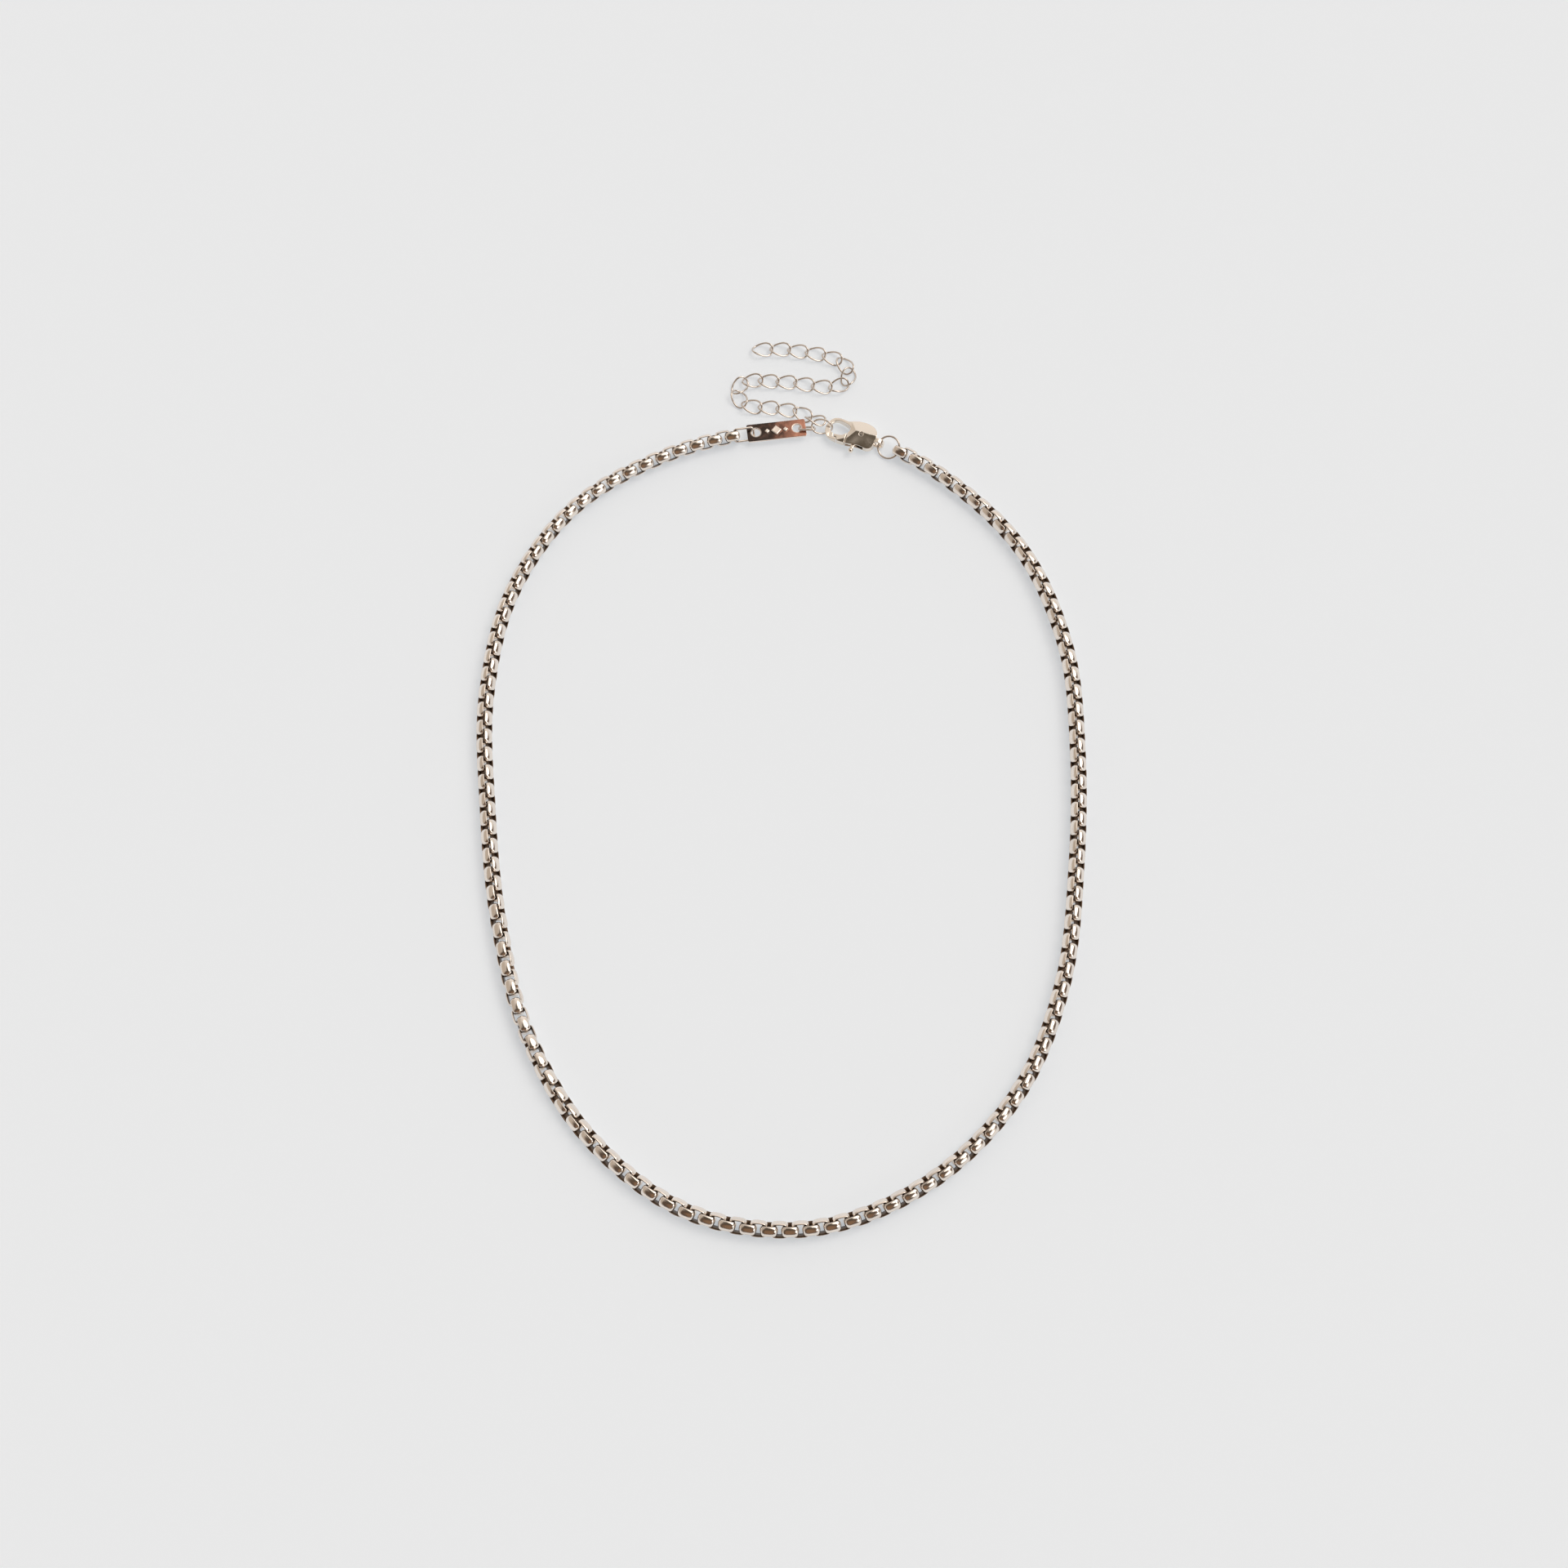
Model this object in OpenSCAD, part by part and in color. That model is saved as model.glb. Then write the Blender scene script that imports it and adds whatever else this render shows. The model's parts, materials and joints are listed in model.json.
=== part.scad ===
/* [Box chain] */
// Outer diameter of the round box chain
chain_d = 3.6; // [3.5:0.05:3.8]
// Length of one box link along the chain
link_len = 3.8; // [3.6:0.05:4.2]
// Thickness of a link's domed plates at the crown
plate_t = 0.55; // [0.45:0.05:0.65]
// Thickness of a link's end walls at the crown
end_t = 0.7; // [0.6:0.05:0.8]
// Radius of the bulge of the end walls, seen from above a plate
bulge_r = 1.45; // [1.35:0.05:1.8]
// Radius of the bends where plates turn into end walls
bend_r = 0.6; // [0.4:0.05:0.8]
// Free play along the chain between two linked end walls
link_play = 0.3; // [0.25:0.05:0.4]
// Free play across the chain between a link's strip and its neighbour
side_play = 0.195; // [0.19:0.005:0.25]

/* [Tag] */
// Length of the oblong tag
tag_len = 13.5; // [12:0.5:16]
// Width of the tag
tag_w = 4.4; // [3.8:0.2:5]
// Thickness of the tag
tag_t = 0.6; // [0.5:0.05:0.7]
// Diameter of the hole near each end of the tag
tag_hole_d = 2; // [1.9:0.1:2.2]
// Bare metal between a hole's centre and the tag's nearer end
tag_inset = 2.05; // [1.9:0.05:2.4]
// Radius of the tag's rounded corners
tag_corner_r = 0.4; // [0.2:0.1:0.8]
// Height of the plain ornament raised in the middle of the tag
ornament_h = 0.25; // [0.15:0.05:0.4]

/* [Small links] */
// Wire diameter of the connector link, the tag ring and the clasp ring
ring_wire = 0.5; // [0.45:0.05:0.55]
// Length of the connector link between its end wires' centres
connector_len = 4.6; // [4.2:0.1:5.2]
// Width of the connector link between its side wires' centres
connector_w = 2.9; // [2.7:0.1:3.1]
// Lean of the connector link about the chain's line
connector_lean = 45; // [40:1:48]
// Length of the tag ring between its end wires' centres
tag_ring_len = 3.6; // [3.4:0.1:4]
// Width of the tag ring between its side wires' centres
tag_ring_w = 2.2; // [2.1:0.1:2.5]
// Lean of the tag ring, the other way from the connector link
tag_ring_lean = -45; // [-48:1:-40]
// Outer diameter of the clasp ring
clasp_ring_d = 5.5; // [5.2:0.1:6]

/* [Extender chain] */
// Wire diameter of the extender's links
curb_wire = 0.45; // [0.4:0.05:0.5]
// Outer length of an extender link
curb_len = 5.2; // [5.1:0.05:5.3]
// Outer width of an extender link
curb_w = 3.7; // [3.5:0.1:3.9]
// How far an extender link is twisted out of flat, to each side
curb_twist = 0.55; // [0.5:0.05:0.6]
// Free play along the extender between two linked wires
curb_play = 0.25; // [0.2:0.05:0.4]

/* [Clasp] */
// Length of the clasp from the hook's end to the eye's end
clasp_len = 14; // [13:0.5:15]
// Width of the clasp's body
clasp_w = 6.4; // [6:0.1:6.8]
// Height of the clasp's body at its ridge
clasp_h = 2.8; // [2.6:0.1:3]
// Height of the flat rim round the clasp's body
clasp_rim_h = 1.25; // [1.2:0.05:1.5]
// Height of the hook's closed end, where other links hang in it
hook_h = 0.84; // [0.7:0.02:0.88]
// Outer diameter of the eye
eye_d = 2.8; // [2.6:0.1:3]
// Diameter of the eye's hole
eye_hole_d = 1.8; // [1.7:0.05:1.9]
// Width of the eye across its hole
eye_t = 1.1; // [0.9:0.05:1.2]
// Thickness of the lever in the body's slot
lever_t = 0.8; // [0.7:0.05:0.85]
// Free height above and below the lever in the body's slot
lever_play = 0.1; // [0.08:0.01:0.14]
// Diameter of the rivet that the lever turns on
pin_d = 0.9; // [0.8:0.05:1]
// Radial clearance between the rivet and the lever
pin_fit = 0.04; // [0.02:0.01:0.08]
// Diameter of the lever's thumb knob
knob_d = 1.2; // [1:0.1:1.3]

/* [Hidden] */
metal = "#c8b8a4";
tag_metal = "#8a6450";
round_fn = 48;
wire_fn = 24;
clear = 0.1;
past = 1;

// Points of the whole loop as it lies, clockwise from the tag's middle
loop_points = [
    [-1, 79.5], [16, 78.5], [36, 68], [53.5, 49.5], [62.5, 25.5], [64, 0.5], [62.5, -25],
    [58.5, -50.5], [48.5, -73.5], [30.5, -91.5], [7, -101], [-18, -98], [-38.5, -83],
    [-52, -61.5], [-59, -37], [-62.5, -12], [-64, 13.5], [-59.5, 38.5], [-46, 60], [-24.5, 73.5]
];
// Roll of the box chain about its own line, leaning into the loop: share of the chain, degrees
roll_table = [
    [0, 28], [0.01, 35], [0.06, 54], [0.1, 62], [0.24, 52], [0.31, 57], [0.43, 58], [0.5, 62],
    [0.56, 61], [0.575, 57], [0.595, 46], [0.655, -8], [0.68, -20], [0.71, -38], [0.75, -44],
    [0.84, -42], [0.92, -48], [0.97, -54], [1, -58]
];
// Points of the extender's S from its third link to its free end, seen from the hook's end
extender_points = [
    [-6.2, 2.7], [-10, 2.6], [-14, 2], [-18, 1.2], [-21.5, 2.5], [-22, 6], [-19, 8], [-14.5, 9],
    [-10.5, 10], [-6.5, 10.5], [-2.5, 11.2], [0.5, 13], [1, 16], [-1.5, 18.5], [-6, 19],
    [-10.5, 18.5], [-14.5, 18], [-18, 17], [-24, 15]
];
// Steps from link to link along the S, shorter in its turns, in shares of the pitch
extender_steps = [
    0.96, 1.01, 0.97, 0.88, 0.84, 0.83, 0.92, 1.02, 1.02, 1.02, 0.98, 0.84, 0.84, 0.9, 1, 1.02, 1.02,
    1.02
];

function spline(a, b, c, d, u) =
    (2 * b + (c - a) * u + (2 * a - 5 * b + 4 * c - d) * u * u
     + (3 * b - a - 3 * c + d) * u * u * u) / 2;
function ring_of(p, steps) = [
    for (i = [0:len(p) - 1], k = [0:steps - 1])
        spline(p[(i + len(p) - 1) % len(p)], p[i], p[(i + 1) % len(p)], p[(i + 2) % len(p)],
               k / steps)
];
function line_of(p, steps) = [
    for (i = [0:len(p) - 2], k = [0:steps - 1])
        spline(p[max(i - 1, 0)], p[i], p[i + 1], p[min(i + 2, len(p) - 1)], k / steps)
];
function travel(line) = [
    for (i = 0, s = 0; i < len(line);
         s = s + (i < len(line) - 1 ? norm(line[i + 1] - line[i]) : 0), i = i + 1) s
];
function column(line, reach, k) = [for (i = [0:len(line) - 1]) [reach[i], line[i][k]]];
function heading(a, b) = atan2(b[1] - a[1], b[0] - a[0]);
function unit(v) = v / norm(v);

// The loop's line, read by the length travelled along it from the tag's middle
line_steps = 24;
loop_ring = ring_of(loop_points, line_steps);
loop_line = concat(loop_ring, [loop_ring[0]]);
loop_travel = travel(loop_line);
loop_len = loop_travel[len(loop_travel) - 1];
loop_x = column(loop_line, loop_travel, 0);
loop_y = column(loop_line, loop_travel, 1);
function wrap(s) = s - loop_len * floor(s / loop_len);
function spot(s) = [lookup(wrap(s), loop_x), lookup(wrap(s), loop_y)];

// Distance along the extender from link to link
curb_pitch = curb_len - 2 * curb_wire - curb_play;

// Box chain
chain_r = chain_d / 2;
strip_w = 2 * (chain_r - plate_t - side_play);
pitch = link_len - 2 * end_t - link_play;
window_half = link_len / 2 - end_t;

// Where the closure's pieces lie, as lengths along the loop from the tag's middle
hole_reach = tag_len / 2 - tag_inset;
hole_pull = tag_hole_d / 2 - ring_wire / 2 - 2.5 * clear;
clasp_ring_r = (clasp_ring_d - ring_wire) / 2;
ring_sag = clasp_ring_r - sqrt(pow(clasp_ring_r, 2) - pow(strip_w / 2, 2));
connector_near = -hole_reach - hole_pull;
connector_far = connector_near - connector_len;
last_link = connector_far - window_half + ring_wire / 2 + 5 * clear;
tag_ring_near = hole_reach + hole_pull;
tag_ring_far = tag_ring_near + tag_ring_len;
hook_band = 1;
curb_slack = 0.65;
hook_end = tag_ring_far - ring_wire / 2 + curb_len - 2 * curb_wire - curb_slack - hook_band;
eye_x = clasp_len - eye_d / 2;
eye_at = hook_end + eye_x;
ring_near = eye_at + eye_hole_d / 2 - ring_wire / 2 - 4.5 * clear;
ring_far = ring_near + 2 * clasp_ring_r;
first_link = ring_far + window_half - ring_wire / 2 - 2.5 * clear - ring_sag;

// Box links along the rest of the loop, always an even number of them
chain_span = loop_len + last_link - first_link;
link_count = 2 * round((chain_span / pitch + 1) / 2);
link_step = chain_span / (link_count - 1);
function roll_at(i) = lookup(i / (link_count - 1), roll_table) + (i % 2) * 90;

// The closure lies at the clasp's mid height
mid_z = clasp_h / 2;

// Places children on the loop, x along it, y out of it
module on_loop(s, z) {
    p = spot(s);
    translate([p[0], p[1], z]) rotate([0, 0, heading(spot(s - pitch / 2), spot(s + pitch / 2))])
        children();
}

// Places children midway between two places on the loop, x from one to the other
module between(s1, s2, z1, z2) {
    a = spot(s1);
    b = spot(s2);
    translate([(a[0] + b[0]) / 2, (a[1] + b[1]) / 2, (z1 + z2) / 2])
        rotate([0, -atan2(z2 - z1, norm(b - a)), heading(a, b)]) children();
}

// Places children in the clasp's own frame, its origin at the hook's outer end
module in_clasp() {
    a = spot(hook_end);
    translate([a[0], a[1], mid_z]) rotate([0, 0, heading(a, spot(eye_at))]) children();
}

// Box link: a ring of domed strip, its plates facing up and down, its ends bulged
module box_link() {
    flat_len = link_len - 2 * bulge_r;
    intersection() {
        rotate([90, 0, 0]) linear_extrude(strip_w, center = true) difference() {
            rounded_box(link_len, chain_d, bend_r);
            square([2 * window_half, chain_d - 2 * plate_t], center = true);
        }
        rotate([0, 90, 0])
            cylinder(d = chain_d, h = link_len + past, center = true, $fn = round_fn);
        linear_extrude(chain_d + past, center = true) {
            square([flat_len, 2 * bulge_r], center = true);
            for (side = [-1, 1]) translate([side * flat_len / 2, 0]) circle(bulge_r, $fn = round_fn);
        }
    }
}

module rounded_box(l, w, r) {
    square([l - 2 * r, w], center = true);
    square([l, w - 2 * r], center = true);
    for (x = [-1, 1], y = [-1, 1])
        translate([x * (l / 2 - r), y * (w / 2 - r)]) circle(r, $fn = round_fn);
}

module box_links(first, last) {
    color(metal) for (i = [first:last])
        on_loop(first_link + i * link_step, chain_r) rotate([roll_at(i), 0, 0]) box_link();
}

module box_chain_right() box_links(0, link_count / 2 - 1);

module box_chain_left() box_links(link_count / 2, link_count - 1);

// Oblong link of round wire, its length and width between wire centres
module wire_oblong(l, w) {
    r = w / 4;
    for (x = [-1, 1], y = [-1, 1]) translate([x * (l / 2 - r), y * (w / 2 - r), 0])
        rotate([0, 0, x > 0 ? (y > 0 ? 0 : -90) : (y > 0 ? 90 : 180)])
            rotate_extrude(angle = 90, $fn = round_fn) translate([r, 0])
                circle(d = ring_wire, $fn = wire_fn);
    for (y = [-1, 1]) translate([0, y * w / 2, 0]) rotate([0, 90, 0])
        cylinder(d = ring_wire, h = l - 2 * r, center = true, $fn = wire_fn);
    for (x = [-1, 1]) translate([x * l / 2, 0, 0]) rotate([90, 0, 0])
        cylinder(d = ring_wire, h = w - 2 * r, center = true, $fn = wire_fn);
}

module connector_link() {
    color(metal) between(connector_far, connector_near, chain_r, mid_z)
        rotate([connector_lean, 0, 0]) wire_oblong(connector_len, connector_w);
}

module tag_ring() {
    color(metal) between(tag_ring_near, tag_ring_far, mid_z, mid_z)
        rotate([tag_ring_lean, 0, 0]) wire_oblong(tag_ring_len, tag_ring_w);
}

// Plain ornament of the tag, in shares of its width: the middle lozenge's side, the spacing of
// the three lozenges, and the outer ones' side
lozenge_side = 0.392 * tag_w;
lozenge_pitch = 0.476 * tag_w;
small_lozenge_side = lozenge_side / 2;

module tag() {
    color(tag_metal) between(-hole_reach, hole_reach, mid_z, mid_z) {
        difference() {
            linear_extrude(tag_t, center = true) rounded_box(tag_len, tag_w, tag_corner_r);
            for (side = [-1, 1]) translate([side * hole_reach, 0, 0])
                cylinder(d = tag_hole_d, h = tag_t + past, center = true, $fn = round_fn);
        }
        for (place = [-1:1]) translate([place * lozenge_pitch, 0, 0])
            rotate([0, 0, 45]) linear_extrude(tag_t / 2 + ornament_h)
                square(place == 0 ? lozenge_side : small_lozenge_side, center = true);
    }
}

// Jump ring between the clasp's eye and the first box link, leaning as that link does
module clasp_ring() {
    color(metal) between(ring_near, ring_far, mid_z, chain_r) rotate([roll_at(0), 0, 0])
        rotate_extrude($fn = 2 * round_fn) translate([clasp_ring_r, 0])
            circle(d = ring_wire, $fn = wire_fn);
}

// Extender link: a twisted oval, swept as one closed tube of wire
curb_sides = 6;
curb_rings = 16;
function curb_line(t) = [
    (curb_len - curb_wire) / 2 * cos(t), (curb_w - curb_wire) / 2 * sin(t), curb_twist * sin(2 * t)
];
curb_points = [
    for (k = [0:curb_rings - 1])
        let (
            t = 360 * k / curb_rings,
            along = unit(curb_line(t + 1) - curb_line(t - 1)),
            out = unit(cross(along, [0, 0, 1])),
            up = cross(out, along)
        )
        for (q = [0:curb_sides - 1])
            let (turn = 360 * q / curb_sides)
            curb_line(t) + curb_wire / 2 * (cos(turn) * out + sin(turn) * up)
];
curb_faces = [
    for (k = [0:curb_rings - 1], q = [0:curb_sides - 1], half = [0, 1])
        let (
            a = k * curb_sides,
            b = (k + 1) % curb_rings * curb_sides,
            r = (q + 1) % curb_sides
        )
        half == 0 ? [a + q, b + r, b + q] : [a + q, a + r, b + r]
];
module curb_link() color(metal) polyhedron(curb_points, curb_faces, convexity = 4);

// Extender links 1 to 3 hang from the hook: place from the hook's end, then turns about x, y, z
hanging_links = [
    [[-0.87, 0.43, 0.03], [40.5, -5, 10]],
    [[-2.9, 1.8, -0.06], [29.5, 0, 182.5]],
    [[-6.2, 2.7, -0.625], [0, 0, 159.5]]
];
extender_line = line_of(extender_points, line_steps);
extender_travel = travel(extender_line);
function extender_at(n) = n == 0 ? 0 : extender_at(n - 1) + extender_steps[n - 1] * curb_pitch;
extender_x = column(extender_line, extender_travel, 0);
extender_y = column(extender_line, extender_travel, 1);
function extender_spot(s) = [lookup(s, extender_x), lookup(s, extender_y)];

module extender_link(number) {
    if (number <= len(hanging_links))
        in_clasp() translate(hanging_links[number - 1][0]) rotate(hanging_links[number - 1][1])
            curb_link();
    else {
        s = extender_at(number - len(hanging_links));
        p = extender_spot(s);
        in_clasp() translate([p[0], p[1], curb_twist + curb_wire / 2 - mid_z])
            rotate([0, 0, heading(extender_spot(s - curb_pitch / 2),
                                  extender_spot(s + curb_pitch / 2))]) curb_link();
    }
}

// Clasp, in shares of its length from the hook's end and of its width from the loop's line
clasp_outline = [
    [0, 0.14], [0.036, 0.36], [0.1, 0.51], [0.19, 0.54], [0.286, 0.5], [0.357, 0.485],
    [0.436, 0.547], [0.52, 0.594], [0.62, 0.602], [0.707, 0.563], [0.779, 0.485], [0.829, 0.36],
    [0.854, 0.19], [0.857, 0.03], [0.85, -0.125], [0.829, -0.266], [0.786, -0.36],
    [0.729, -0.39], [0.664, -0.367], [0.593, -0.344], [0.5, -0.36], [0.4, -0.383],
    [0.32, -0.383], [0.229, -0.367], [0.15, -0.344], [0.079, -0.29], [0.025, -0.18],
    [0.004, -0.03]
];
hook_opening = [
    [0.404, 0.148], [0.393, 0.25], [0.357, 0.336], [0.286, 0.39], [0.2, 0.43], [0.136, 0.398],
    [0.089, 0.266], [0.071, 0.092], [0.096, -0.03], [0.157, -0.103], [0.229, -0.128],
    [0.3, -0.103], [0.364, 0]
];
// The hook's mouth, and the lever's arm in it, with a lip that stops the arm's tongue
hook_mouth = [
    [0.147, -0.047], [0.157, -0.242], [0.204, -0.242], [0.231, -0.367], [0.25, -0.5],
    [0.379, -0.5], [0.379, 0.047], [0.329, 0.078]
];
lever_arm = [
    [0.168, -0.047], [0.168, -0.227], [0.212, -0.227], [0.241, -0.367], [0.258, -0.5],
    [0.368, -0.5], [0.368, 0.047], [0.329, 0.078]
];
lever_plate = [
    [0.336, -0.14], [0.379, -0.03], [0.564, 0.21], [0.6, 0.09], [0.66, 0], [0.543, -0.36],
    [0.536, -0.53], [0.486, -0.53], [0.486, -0.344], [0.336, -0.344]
];
// Height of the clasp seen from the side, in shares of its length and of its full height
clasp_profile = [[-0.05, 0.3], [0.1, 0.3], [0.23, 0.53], [0.4, 0.7], [0.5, 1], [0.9, 1]];
clasp_ridge_y = 1;
pivot = [0.6 * clasp_len, 0.09 * clasp_w];
knob_at = [0.507 * clasp_len, -0.56 * clasp_w];
boss_r = 1;
pin_seat = 0.01;
slot_x = [0.37 * clasp_len, pivot[0] + boss_r + 2 * clear];
slot_y = [-0.6 * clasp_w, pivot[1] + boss_r + 1.5 * clear];
rim_reach = 0.6 * clasp_w;
rivet_proud = 0.04;
rivet_chamfer = 0.08;

function sized(table) = [for (p = table) [p[0] * clasp_len, p[1] * clasp_w]];
// Half height of the clasp's side profile: the hook's own height at its closed end
function profile_half(p) = p[1] <= clasp_profile[0][1] ? hook_h / 2 : p[1] * clasp_h / 2;

// Outline of the whole clasp and its lever's arm, without the eye
module hook_shape() {
    difference() {
        polygon(ring_of(sized(clasp_outline), 4));
        polygon(ring_of(sized(hook_opening), 4));
    }
}

// Children cut to the side profile and to the two facets that fall away from the ridge
module faceted() {
    intersection() {
        linear_extrude(clasp_h, center = true) children();
        rotate([90, 0, 0]) linear_extrude(2 * clasp_w, center = true) polygon(concat(
            [for (p = clasp_profile) [p[0] * clasp_len, profile_half(p)]],
            [for (i = [len(clasp_profile) - 1:-1:0])
                [clasp_profile[i][0] * clasp_len, -profile_half(clasp_profile[i])]]
        ));
        rotate([90, 0, 90]) linear_extrude(clasp_len) polygon([
            for (side = [1, -1], y = [-1:1])
                [clasp_ridge_y + side * y * rim_reach,
                 side * (y == 0 ? clasp_h : clasp_rim_h) / 2]
        ]);
    }
}

module clasp_body() {
    color(metal) in_clasp() difference() {
        union() {
            faceted() difference() {
                hook_shape();
                polygon(sized(hook_mouth));
            }
            translate([eye_x, 0, 0]) intersection() {
                rotate([90, 0, 0]) cylinder(d = eye_d, h = eye_t, center = true, $fn = round_fn);
                cylinder(d = eye_d, h = eye_d, center = true, $fn = round_fn);
            }
        }
        translate([eye_x, 0, 0]) rotate([90, 0, 0])
            cylinder(d = eye_hole_d, h = eye_t + 2 * clear, center = true, $fn = round_fn);
        translate([slot_x[0], slot_y[0], -lever_t / 2 - lever_play])
            cube([slot_x[1] - slot_x[0], slot_y[1] - slot_y[0], lever_t + 2 * lever_play]);
        translate([pivot[0], pivot[1], 0])
            cylinder(d = pin_d + 2 * pin_seat, h = clasp_h + past, center = true, $fn = round_fn);
    }
}

module clasp_lever() {
    color(metal) in_clasp() difference() {
        union() {
            faceted() intersection() {
                hook_shape();
                polygon(sized(lever_arm));
            }
            linear_extrude(lever_t, center = true) {
                polygon(sized(lever_plate));
                translate(pivot) circle(boss_r, $fn = round_fn);
            }
            translate([knob_at[0], knob_at[1], 0]) sphere(d = knob_d, $fn = round_fn);
        }
        translate([pivot[0], pivot[1], 0])
            cylinder(r = pin_d / 2 + pin_fit, h = lever_t + past, center = true, $fn = round_fn);
    }
}

module clasp_pin() {
    rivet_h = clasp_h - (clasp_h - clasp_rim_h) * (clasp_ridge_y - pivot[1]) / rim_reach
              + 2 * rivet_proud;
    color(metal) in_clasp() translate([pivot[0], pivot[1], 0])
        rotate_extrude($fn = round_fn) polygon([
            [0, -rivet_h / 2], [pin_d / 2 - rivet_chamfer, -rivet_h / 2],
            [pin_d / 2, rivet_chamfer - rivet_h / 2], [pin_d / 2, rivet_h / 2 - rivet_chamfer],
            [pin_d / 2 - rivet_chamfer, rivet_h / 2], [0, rivet_h / 2]
        ]);
}

box_chain_right();
box_chain_left();
connector_link();
tag();
tag_ring();
clasp_body();
clasp_lever();
clasp_pin();
clasp_ring();
extender_link(1);  // extender_link_01
extender_link(2);  // extender_link_02
extender_link(3);  // extender_link_03
extender_link(4);  // extender_link_04
extender_link(5);  // extender_link_05
extender_link(6);  // extender_link_06
extender_link(7);  // extender_link_07
extender_link(8);  // extender_link_08
extender_link(9);  // extender_link_09
extender_link(10);  // extender_link_10
extender_link(11);  // extender_link_11
extender_link(12);  // extender_link_12
extender_link(13);  // extender_link_13
extender_link(14);  // extender_link_14
extender_link(15);  // extender_link_15
extender_link(16);  // extender_link_16
extender_link(17);  // extender_link_17
extender_link(18);  // extender_link_18
extender_link(19);  // extender_link_19
extender_link(20);  // extender_link_20
extender_link(21);  // extender_link_21
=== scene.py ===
"""A box chain necklace laid flat, with a lobster clasp, a tag and an S of extender links."""

import json
import logging
import math
from dataclasses import dataclass, field
from enum import Enum
from typing import Mapping, Sequence

import bmesh
import bpy
import numpy as np
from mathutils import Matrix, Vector

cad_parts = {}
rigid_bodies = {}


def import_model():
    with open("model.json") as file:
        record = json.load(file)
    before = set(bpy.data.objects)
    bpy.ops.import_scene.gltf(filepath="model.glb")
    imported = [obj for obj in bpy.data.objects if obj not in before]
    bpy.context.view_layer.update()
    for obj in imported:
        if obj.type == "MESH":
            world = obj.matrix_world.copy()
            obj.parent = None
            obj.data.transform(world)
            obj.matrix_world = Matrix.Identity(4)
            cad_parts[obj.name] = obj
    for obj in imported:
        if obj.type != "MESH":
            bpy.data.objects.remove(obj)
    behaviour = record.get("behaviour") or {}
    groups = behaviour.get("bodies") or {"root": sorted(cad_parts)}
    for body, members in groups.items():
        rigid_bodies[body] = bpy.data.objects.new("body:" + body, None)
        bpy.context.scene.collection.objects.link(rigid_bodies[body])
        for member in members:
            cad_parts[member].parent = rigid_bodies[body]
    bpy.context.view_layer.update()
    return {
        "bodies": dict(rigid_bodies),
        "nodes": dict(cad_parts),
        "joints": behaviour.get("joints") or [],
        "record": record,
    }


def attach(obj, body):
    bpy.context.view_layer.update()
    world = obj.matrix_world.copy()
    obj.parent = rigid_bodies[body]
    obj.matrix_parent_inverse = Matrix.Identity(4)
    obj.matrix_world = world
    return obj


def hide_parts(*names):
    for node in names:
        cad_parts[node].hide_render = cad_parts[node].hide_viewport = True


MM = 0.001
LOG = logging.getLogger("necklace")

Colour = tuple[float, float, float]
Point = tuple[float, float, float]


class Body(Enum):
    """The two rigid bodies that pieces move with."""

    NECKLACE = "necklace"
    LEVER = "lever"


class Slot(Enum):
    """The record's material slots."""

    CHAIN = "chain_metal"
    CLASP = "clasp_metal"
    TAG = "tag_metal"


class Mark(Enum):
    """Surface attributes that the finishes read."""

    # Painted shade: 1 on the box links' inner faces, which the finishes darken where shade falls
    # between links.
    INNER_SHADE = "shelter"
    TONE = "tone"


class Octaves(Enum):
    """How many finer octaves a noise has."""

    NONE = 0
    SOME = 2
    MANY = 3


def turned(x: np.ndarray | float, y: np.ndarray | float, z: np.ndarray | float) -> np.ndarray:
    """Rotation matrices that turn about x first, then y, then z.

    Args:
        x: Angles about x in degrees, one or an array.
        y: Angles about y.
        z: Angles about z.

    Returns:
        Matrices in the last two axes, one for each angle.
    """
    x, y, z = np.broadcast_arrays(*(np.radians(np.asarray(a, float)) for a in (x, y, z)))
    (cx, sx), (cy, sy), (cz, sz) = ((np.cos(a), np.sin(a)) for a in (x, y, z))
    rows = [
        [cz * cy, cz * sy * sx - sz * cx, cz * sy * cx + sz * sx],
        [sz * cy, sz * sy * sx + cz * cx, sz * sy * cx - cz * sx],
        [-sy, cy * sx, cy * cx],
    ]
    return np.moveaxis(np.array(rows), (0, 1), (-2, -1))


@dataclass(frozen=True)
class Placing:
    """Where copies of a shape lie.

    Attributes:
        turns: A rotation matrix for each.
        places: A place for each.
    """

    turns: np.ndarray
    places: np.ndarray

    def of(self, points: np.ndarray) -> np.ndarray:
        """The points (v, 3) at each place, as (n, v, 3)."""
        return points @ np.swapaxes(self.turns, -1, -2) + self.places[..., None, :]

    def within(self, outer: "Placing") -> "Placing":
        """This placing, read in the frame of one outer placing."""
        places = self.places @ outer.turns.T + outer.places
        return Placing(outer.turns @ self.turns, places)


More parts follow.
